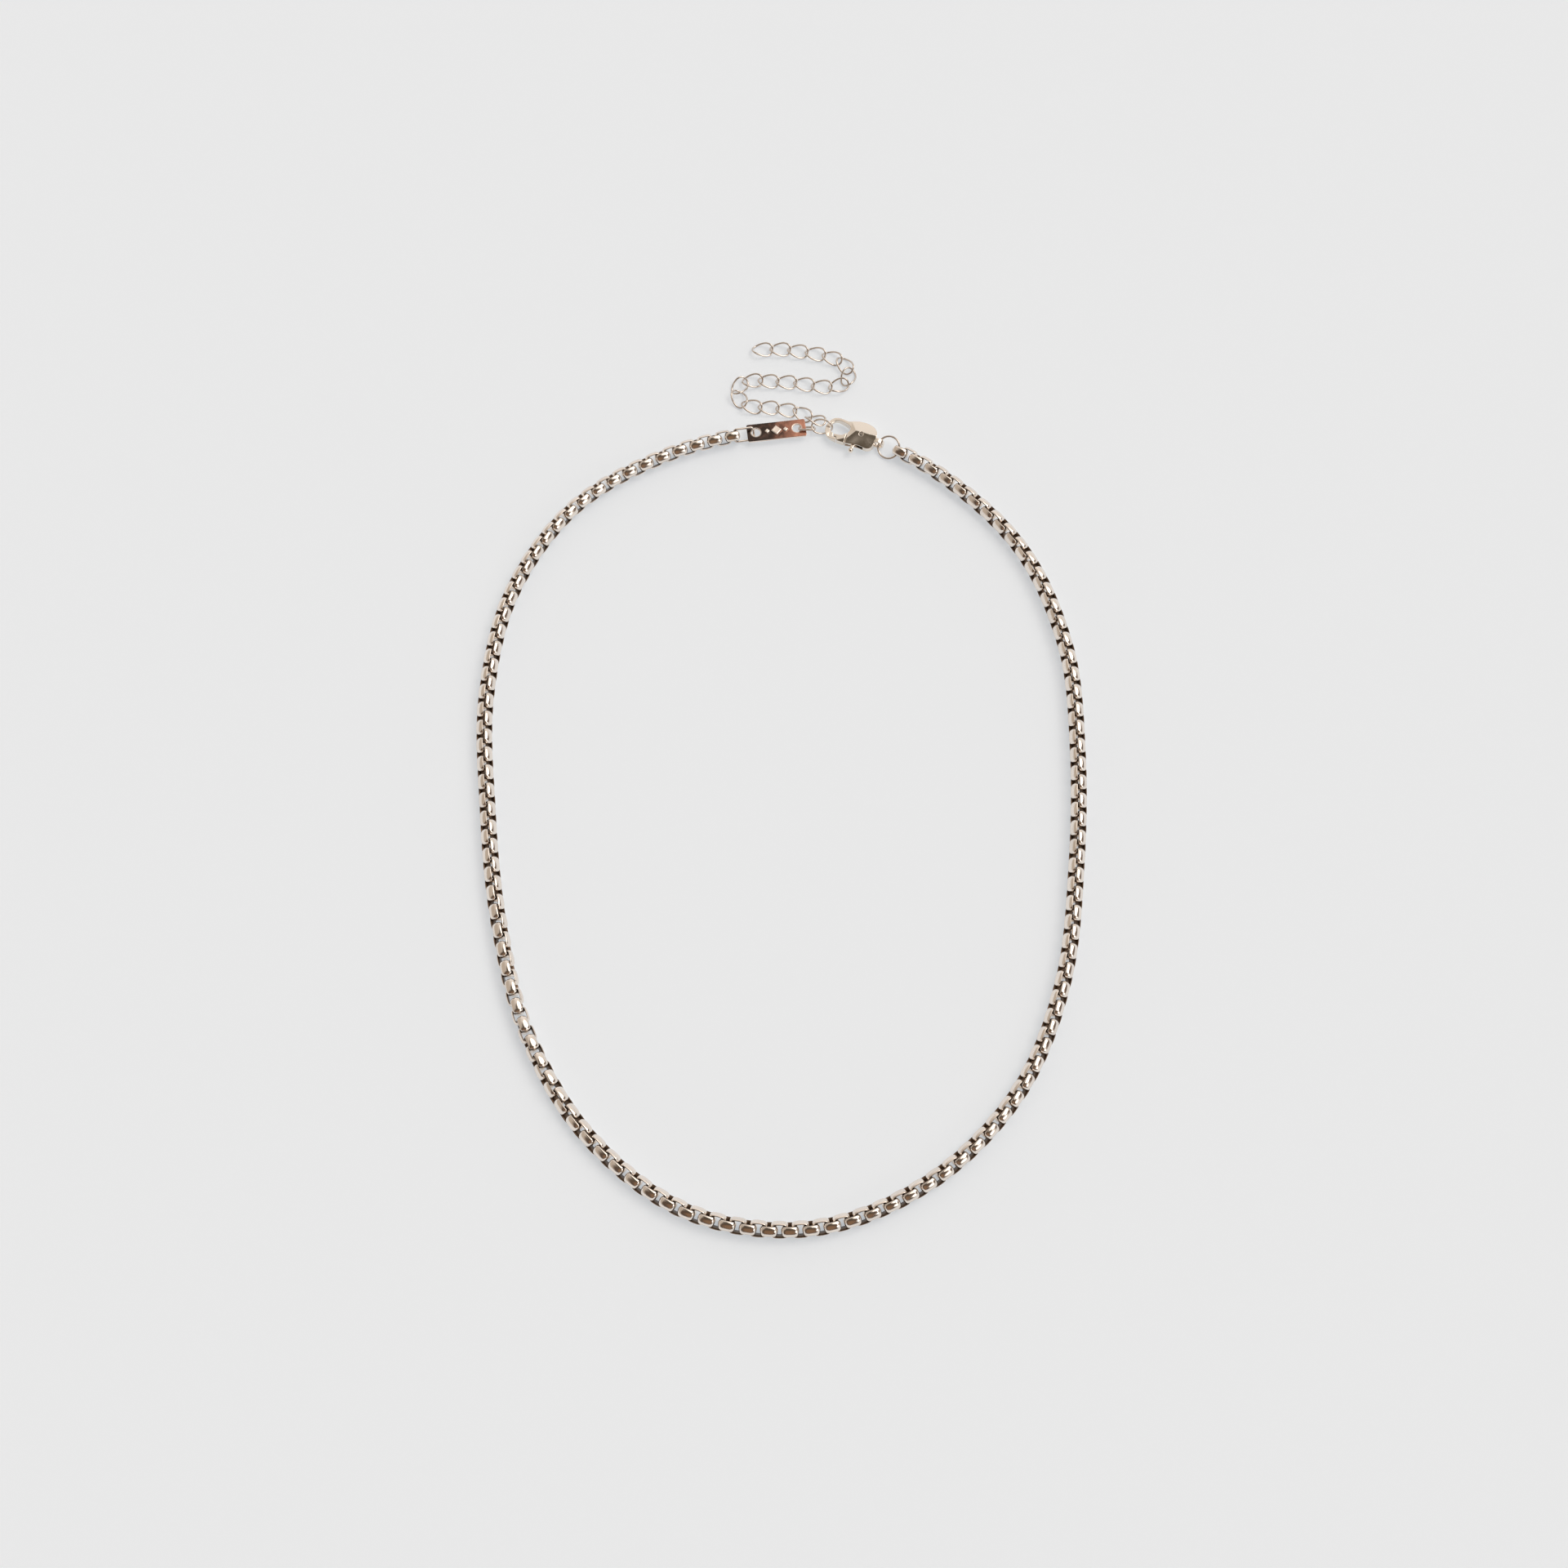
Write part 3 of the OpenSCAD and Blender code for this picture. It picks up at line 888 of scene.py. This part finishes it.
@dataclass
class BoxChain:
    """The rounded box chain: square links bent from domed strip, each a quarter turn on.

    The ring's outer side is a rounded rectangle and its strip is a D: flat inside, and outside
    it falls away from the crown by the sag of a circle, radius - sqrt(radius^2 - y^2).

    Attributes:
        layout: The loop and the places along it.
        link_len: A link's length.
        plate: Thickness of the strip along the link's sides.
        end_wall: Thickness of the strip at the link's ends.
        bend: Radius of the link's outer corners.
        inner_bend: Radius of its inner corners.
        dome: Radius of the crown across the strip, on the link's sides.
        bulge: Radius of the crown on the link's ends.
        rolls: Shares of the chain from its right end, each with the links' roll there.
        section: Points round the strip: half widths across and the share of its thickness.
        inner_crease: How sharp the strip's two inner edges stay.
        corner_steps: Steps in one corner's turn.
        smoothing: Levels of the subdivision surface.
    """

    layout: Layout
    link_len: float = 3.8 * MM
    plate: float = 0.55 * MM
    end_wall: float = 0.7 * MM
    bend: float = 0.9 * MM
    inner_bend: float = 0.35 * MM
    dome: float = 1.8 * MM
    bulge: float = 1.45 * MM
    rolls: Sequence[tuple[float, float]] = (
        (0, 28), (0.01, 35), (0.06, 54), (0.1, 62), (0.24, 52), (0.31, 57), (0.43, 58),
        (0.5, 62), (0.56, 61), (0.575, 57), (0.595, 46), (0.655, -8), (0.68, -20), (0.71, -38),
        (0.75, -44), (0.84, -42), (0.92, -48), (0.97, -54), (1, -58),
    )
    section: Sequence[tuple[float, float]] = (
        (-1.0, 1.0), (-1.0, 0.35), (-0.82, 0.0), (-0.3, 0.0), (0.3, 0.0), (0.82, 0.0),
        (1.0, 0.35), (1.0, 1.0),
    )
    inner_crease: float = 0.8
    corner_steps: int = 2
    smoothing: int = 1

    def roll(self, number: np.ndarray) -> np.ndarray:
        """The roll in degrees of each link about the chain's line."""
        shares, angles = np.array(self.rolls).T
        return np.interp(number / (self.layout.link_count - 1), shares, angles) + number % 2 * 90

    def link(self) -> Surface:
        """One link, its plates facing up and down and its end walls fore and aft.

        Returns:
            The link about its own middle.
        """
        half = (self.link_len / 2, self.layout.chain_width / 2)
        outer = rounded_rectangle(half, self.bend, self.corner_steps)
        window = (half[0] - self.end_wall, half[1] - self.plate)
        inner = rounded_rectangle(window, self.inner_bend, self.corner_steps)
        chord = np.roll(outer, -1, axis=0) - np.roll(outer, 1, axis=0)
        normal = np.stack([chord[:, 1], -chord[:, 0]], axis=-1)
        normal /= np.linalg.norm(normal, axis=1, keepdims=True)
        across, depth = np.array(self.section).T
        y = across * self.layout.strip_width / 2
        radius = self.dome + (self.bulge - self.dome) * normal[:, :1] ** 2
        sag = radius - np.sqrt(radius**2 - y**2)
        shell = outer[:, None] - normal[:, None] * sag[..., None]
        walls = shell + (inner[:, None] - shell) * depth[:, None]
        points = np.stack([walls[..., 0], np.broadcast_to(y, sag.shape), walls[..., 1]], axis=-1)
        surface = Surface.ring_grid(points)
        stations, sides = sag.shape
        # Painted shade: the strip's depth share, 1 on its inner face, which the finish darkens and
        # browns.
        surface.marks[Mark.INNER_SHADE] = np.tile(depth, stations)
        edge = np.flatnonzero(depth == 1.0)
        start = (np.arange(stations)[:, None] * sides + edge).ravel()
        end = ((np.arange(stations) + 1) % stations * sides)[:, None] + edge
        sharp = np.full(start.size, self.inner_crease)
        surface.creases = np.stack([start, end.ravel(), sharp], axis=-1)
        return surface

    def links(self, first: int, last: int) -> Surface:
        """A run of links where they lie.

        Args:
            first: Number of the run's first link, counted from the chain's right end.
            last: Number of its last link.

        Returns:
            The links as one surface.
        """
        number = np.arange(first, last + 1)
        at = self.layout.first_link + number * self.layout.link_step
        half = self.layout.link_pitch / 2
        turns = turned(self.roll(number), 0, self.layout.loop.heading(at - half, at + half))
        height = np.full(number.size, self.layout.chain_width / 2)
        places = np.concatenate([self.layout.loop.spot(at), height[:, None]], axis=-1)
        link = self.link()
        surface = link.placed(Placing(turns, places))
        tones = np.random.default_rng(first).random(number.size)
        surface.marks[Mark.TONE] = np.repeat(tones, len(link.points))
        return surface

    def build(self, material: bpy.types.Material) -> None:
        """Builds the chain's two halves.

        Args:
            material: The chain's finish.
        """
        half = self.layout.link_count // 2
        ends = {"box_chain_right": (0, half - 1), "box_chain_left": (half, 2 * half - 1)}
        for node, (first, last) in ends.items():
            surface = self.links(first, last)
            name = f"{node}_links"
            piece = show(surface, name, Body.NECKLACE, material, [node])
            smooth = piece.modifiers.new("smooth", "SUBSURF")
            smooth.levels = smooth.render_levels = self.smoothing


@dataclass
class SmallLinks:
    """The connector link, the tag ring and the clasp ring, of round wire.

    Attributes:
        layout: The loop and the places along it.
        connector_width: The connector link's width between its wire's centres.
        connector_lean: The connector link's turn about its length, in degrees.
        tag_ring_width: The tag ring's width between its wire's centres.
        tag_ring_lean: The tag ring's turn about its length, in degrees.
        clasp_ring_lean: The clasp ring's turn about the line along the loop, in degrees.
        sides: Points round the wire.
        corner_steps: Steps in one corner's turn.
        ring_steps: Steps round the clasp ring.
    """

    layout: Layout
    connector_width: float = 2.9 * MM
    connector_lean: float = 45.0
    tag_ring_width: float = 2.2 * MM
    tag_ring_lean: float = -45.0
    clasp_ring_lean: float = 28.0
    sides: int = 16
    corner_steps: int = 8
    ring_steps: int = 64

    def oblong(self, length: float, width: float) -> Surface:
        """A link whose wire's centre runs round a rectangle with corners of a quarter width.

        Args:
            length: Length between the wire's centres.
            width: Width between the wire's centres.

        Returns:
            The link about its own middle.
        """
        flat = rounded_rectangle((length / 2, width / 2), width / 4, self.corner_steps)
        path = np.column_stack([flat, np.zeros(len(flat))])
        return wire_ring(path, self.layout.ring_wire, self.sides)

    def round(self, radius: float) -> Surface:
        """A ring whose wire's centre runs round a circle.

        Args:
            radius: The circle's radius.

        Returns:
            The ring about its own middle.
        """
        a = np.linspace(0, 2 * np.pi, self.ring_steps, endpoint=False)
        path = radius * np.stack([np.cos(a), np.sin(a), 0 * a], axis=-1)
        return wire_ring(path, self.layout.ring_wire, self.sides)

    def build(self, material: bpy.types.Material) -> None:
        """Builds the three links.

        Args:
            material: The wire's finish.
        """
        lay = self.layout
        chain_height, mid = lay.chain_width / 2, lay.mid_height
        pieces = {
            "connector_link": (
                self.oblong(lay.connector_len, self.connector_width),
                lay.between(
                    lay.connector_far, lay.connector_near, (chain_height, mid), self.connector_lean
                ),
            ),
            "tag_ring": (
                self.oblong(lay.tag_ring_len, self.tag_ring_width),
                lay.between(lay.tag_ring_near, lay.tag_ring_far, (mid, mid), self.tag_ring_lean),
            ),
            "clasp_ring": (
                self.round(lay.ring_radius),
                lay.between(lay.ring_near, lay.ring_far, (mid, chain_height), self.clasp_ring_lean),
            ),
        }
        for node, (surface, placing) in pieces.items():
            wire = surface.placed(placing)
            show(wire, f"{node}_wire", Body.NECKLACE, material, [node])


@dataclass
class Extender:
    """The extender's twisted oval links: three hang from the hook and the rest lie in an S.

    A link's line is (length cos t, width sin t, twist sin 2t), as halves between wire centres.

    Attributes:
        layout: The loop and the places along it.
        width: A link's width.
        twist: How far its line rises and dips.
        play: Room between links that hang in one another.
        steps_round: Steps round a link.
        sides: Points round the wire.
        hanging: Place in millimetres and turn in degrees of the links near the hook, in the
            clasp's frame.
        route_points: The line that the other links lie along, in that frame.
        steps: Distances from link to link along that line, in pitches.
    """

    layout: Layout
    width: float = 3.7 * MM
    twist: float = 0.55 * MM
    play: float = 0.25 * MM
    steps_round: int = 40
    sides: int = 12
    hanging: Sequence[tuple[Point, Point]] = (
        ((-0.87, 0.43, 0.03), (40.5, -5, 10)),
        ((-2.9, 1.8, -0.06), (29.5, 0, 182.5)),
        ((-6.2, 2.7, -0.625), (0, 0, 159.5)),
    )
    route_points: Sequence[tuple[float, float]] = (
        (-6.2, 2.7), (-10, 2.6), (-14, 2), (-18, 1.2), (-21.5, 2.5), (-22, 6), (-19, 8),
        (-14.5, 9), (-10.5, 10), (-6.5, 10.5), (-2.5, 11.2), (0.5, 13), (1, 16), (-1.5, 18.5),
        (-6, 19), (-10.5, 18.5), (-14.5, 18), (-18, 17), (-24, 15),
    )
    steps: Sequence[float] = (
        0.96, 1.01, 0.97, 0.88, 0.84, 0.83, 0.92, 1.02, 1.02, 1.02, 0.98, 0.84, 0.84, 0.9, 1,
        1.02, 1.02, 1.02,
    )

    @property
    def pitch(self) -> float:
        """Distance along the extender from link to link."""
        return self.layout.curb_len - 2 * self.layout.curb_wire - self.play

    def link(self) -> Surface:
        """One link, flat but for its twist.

        Returns:
            The link about its own middle.
        """
        t = np.linspace(0, 2 * np.pi, self.steps_round, endpoint=False)
        half_len = (self.layout.curb_len - self.layout.curb_wire) / 2
        half_width = (self.width - self.layout.curb_wire) / 2
        path = [half_len * np.cos(t), half_width * np.sin(t), self.twist * np.sin(2 * t)]
        return wire_ring(np.stack(path, axis=-1), self.layout.curb_wire, self.sides)

    def placings(self) -> Placing:
        """Where all the links lie.

        Returns:
            Their placing in the part's frame.
        """
        hung = np.array(self.hanging, float)
        turns = turned(*hung[:, 1].T)
        route = Route.through(self.route_points, closed=False)
        at = np.cumsum(self.steps) * self.pitch
        spots = route.spot(at)
        flat = turned(0, 0, route.heading(at - self.pitch / 2, at + self.pitch / 2))
        height = self.twist + self.layout.curb_wire / 2 - self.layout.mid_height
        lying = np.column_stack([spots, np.full(len(spots), height)])
        own = Placing(np.concatenate([turns, flat]), np.concatenate([hung[:, 0] * MM, lying]))
        return own.within(self.layout.clasp_frame())

    def build(self, material: bpy.types.Material) -> None:
        """Builds each link as a piece of its own.

        Args:
            material: The wire's finish.
        """
        placing = self.placings()
        link = self.link()
        for number, (turn, place) in enumerate(zip(placing.turns, placing.places), start=1):
            node = f"extender_link_{number:02d}"
            surface = link.placed(Placing(turn[None], place[None]))
            show(surface, f"{node}_wire", Body.NECKLACE, material, [node])


@dataclass
class CastNode:
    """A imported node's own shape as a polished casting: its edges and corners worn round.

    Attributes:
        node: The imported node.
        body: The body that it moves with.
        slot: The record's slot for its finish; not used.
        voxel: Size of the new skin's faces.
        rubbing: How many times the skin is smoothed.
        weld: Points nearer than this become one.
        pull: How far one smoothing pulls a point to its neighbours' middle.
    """

    node: str
    body: Body
    slot: Slot
    voxel: float = 0.07 * MM
    rubbing: int = 8
    weld: float = 0.002 * MM
    pull: float = 0.5

    def build(self, frame: Mapping[str, object], material: bpy.types.Material) -> None:
        """Copies the node's mesh, gives it an even skin and smooths that.

        Args:
            material: The piece's finish.
        """
        mesh = frame["nodes"][self.node].data.copy()
        mesh.name = self.node
        welded = bmesh.new()
        welded.from_mesh(mesh)
        bmesh.ops.remove_doubles(welded, verts=welded.verts, dist=self.weld)
        welded.to_mesh(mesh)
        welded.free()
        piece = show(mesh, f"{self.node}_polished", self.body, material, [self.node])
        skin = piece.modifiers.new("even_skin", "REMESH")
        skin.mode = "VOXEL"
        skin.voxel_size = self.voxel
        skin.use_smooth_shade = True
        rub = piece.modifiers.new("rubbing", "SMOOTH")
        rub.factor = self.pull
        rub.iterations = self.rubbing


@dataclass(frozen=True)
class Panel:
    """A round patch of the studio's surroundings with a soft edge.

    Attributes:
        towards: Direction of its middle.
        inner: Angle from its middle at which it starts to fade, in degrees.
        outer: Angle at which it has faded out.
        colour: Its light.
    """

    towards: Point
    inner: float
    outer: float
    colour: Colour


@dataclass
class Studio:
    """A pale floor, a soft lamp from the upper right, and the camera above the loop.

    The surroundings are warm walls with panels laid over one another in order.

    Attributes:
        camera_at: Where the camera stands.
        camera_aim: Where it looks.
        lens: Its focal length in millimetres.
        clip: The nearest distance that it sees.
        floor_size: Length of the floor's sides.
        walls: Light of the walls.
        panels: The walls' brighter and darker parts.
        lamp_from: Direction that the lamp shines from.
        lamp_spread: Angle that the lamp fills, in degrees.
        lamp_colour: Its colour.
        lamp_strength: Its strength.
    """

    camera_at: Point = (0.75 * MM, -164.4 * MM, 422.3 * MM)
    camera_aim: Point = (0.75 * MM, -7.0 * MM, 1.8 * MM)
    lens: float = 48.15
    clip: float = 0.01
    floor_size: float = 12.0
    walls: Colour = (0.75, 0.69, 0.63)
    panels: Sequence[Panel] = (
        # A bright wall behind the loop, a dimmer one on the left, a dark corner on the right.
        Panel((0.0, 0.97, 0.26), 10, 45, (0.92, 0.87, 0.82)),
        Panel((-1.0, 0.1, 0.35), 30, 65, (0.52, 0.45, 0.38)),
        Panel((0.91, 0.07, 0.40), 12, 30, (0.16, 0.115, 0.09)),
        # The dark room in front of the loop, browner in its middle, and the ceiling.
        Panel((0.0, -0.78, 0.63), 40, 56, (0.10, 0.07, 0.052)),
        Panel((0.0, -0.74, 0.67), 10, 32, (0.23, 0.14, 0.085)),
        Panel((0.0, -0.02, 1.0), 6, 27, (0.085, 0.067, 0.048)),
        # Three windows on the right, from the back to the front.
        Panel((0.62, 0.35, 0.70), 9, 16, (2.4, 2.35, 2.25)),
        Panel((0.62, -0.15, 0.77), 3, 9, (2.4, 2.35, 2.25)),
        Panel((0.68, -0.52, 0.52), 5, 16, (2.4, 2.35, 2.25)),
        # The backdrop, in the floor's tone, up to just above the horizon.
        Panel((0.0, 0.0, -1.0), 98, 107, (0.81, 0.81, 0.81)),
    )
    lamp_from: Point = (0.40, 0.24, 0.88)
    lamp_spread: float = 45.0
    lamp_colour: Colour = (1.0, 0.941, 0.875)
    lamp_strength: float = 0.692

    def build(self) -> None:
        """Builds the floor, the lamp, the surroundings and the camera."""
        self._floor()
        self._lamp()
        self._surroundings()
        self._camera()

    def _floor(self) -> None:
        """A square pale card at height 0."""
        half = self.floor_size / 2
        corners = [(-half, -half, 0), (half, -half, 0), (half, half, 0), (-half, half, 0)]
        mesh = bpy.data.meshes.new("floor")
        mesh.from_pydata(corners, [], [(0, 1, 2, 3)])
        mesh.materials.append(PaleFloor().material())
        floor = bpy.data.objects.new("floor", mesh)
        bpy.context.scene.collection.objects.link(floor)

    def _lamp(self) -> None:
        """A broad far lamp that lights the whole floor evenly."""
        light = bpy.data.lights.new("lamp", "SUN")
        light.angle = math.radians(self.lamp_spread)
        light.color = self.lamp_colour
        light.energy = self.lamp_strength
        lamp = bpy.data.objects.new("lamp", light)
        bpy.context.scene.collection.objects.link(lamp)
        lamp.location = self.lamp_from
        lamp.rotation_euler = (-Vector(self.lamp_from)).to_track_quat("-Z", "Y").to_euler()

    def _surroundings(self) -> None:
        """Light from all round, which the metal reflects."""
        world = bpy.data.worlds.new("studio")
        bpy.context.scene.world = world
        shader = Shader(world)
        direction = shader.node("ShaderNodeTexCoord", {}, {}).outputs["Generated"]
        light: object = (*self.walls, 1.0)
        for panel in self.panels:
            facing = shader.along(direction, tuple(Vector(panel.towards).normalized()))
            edge = (math.cos(math.radians(a)) for a in (panel.outer, panel.inner))
            light = shader.blend(facing.ramp(*edge), light, (*panel.colour, 1.0))
        background = shader.node("ShaderNodeBackground", {}, {"Color": light, "Strength": 1.0})
        shader.node("ShaderNodeOutputWorld", {}, {"Surface": background.outputs[0]})

    def _camera(self) -> None:
        """The camera, above the floor and leaning towards the loop."""
        camera = bpy.data.objects.new("camera", bpy.data.cameras.new("camera"))
        bpy.context.scene.collection.objects.link(camera)
        camera.data.lens = self.lens
        camera.data.clip_start = self.clip
        camera.location = self.camera_at
        aim = Vector(self.camera_aim) - Vector(self.camera_at)
        camera.rotation_euler = aim.to_track_quat("-Z", "Y").to_euler()
        bpy.context.scene.camera = camera
        bpy.context.scene.view_settings.view_transform = "Standard"


def main() -> None:
    """Loads the frame and builds every sub-assembly in order."""
    logging.basicConfig(level=logging.INFO, format="%(name)s: %(message)s")
    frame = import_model()
    chain_metal = CHAIN_FINISH.material()
    wire_metal = WIRE_FINISH.material()
    clasp_metal = CLASP_FINISH.material()
    rivet_metal = RIVET_FINISH.material()
    layout = Layout()
    holes = layout.loop.spot(np.array([-layout.hole_reach, layout.hole_reach]))
    tag_metal = CopperTag([tuple(hole) for hole in holes.tolist()]).material()
    BoxChain(layout).build(chain_metal)
    SmallLinks(layout).build(wire_metal)
    Extender(layout).build(wire_metal)
    CastNode("tag", Body.NECKLACE, Slot.TAG).build(frame, tag_metal)
    CastNode("clasp_body", Body.NECKLACE, Slot.CLASP).build(frame, clasp_metal)
    CastNode("clasp_lever", Body.LEVER, Slot.CLASP).build(frame, clasp_metal)
    rivet = CastNode("clasp_pin", Body.NECKLACE, Slot.CLASP, voxel=0.04 * MM, rubbing=2)
    rivet.build(frame, rivet_metal)
    Studio().build()


if __name__ == "__main__":
    main()
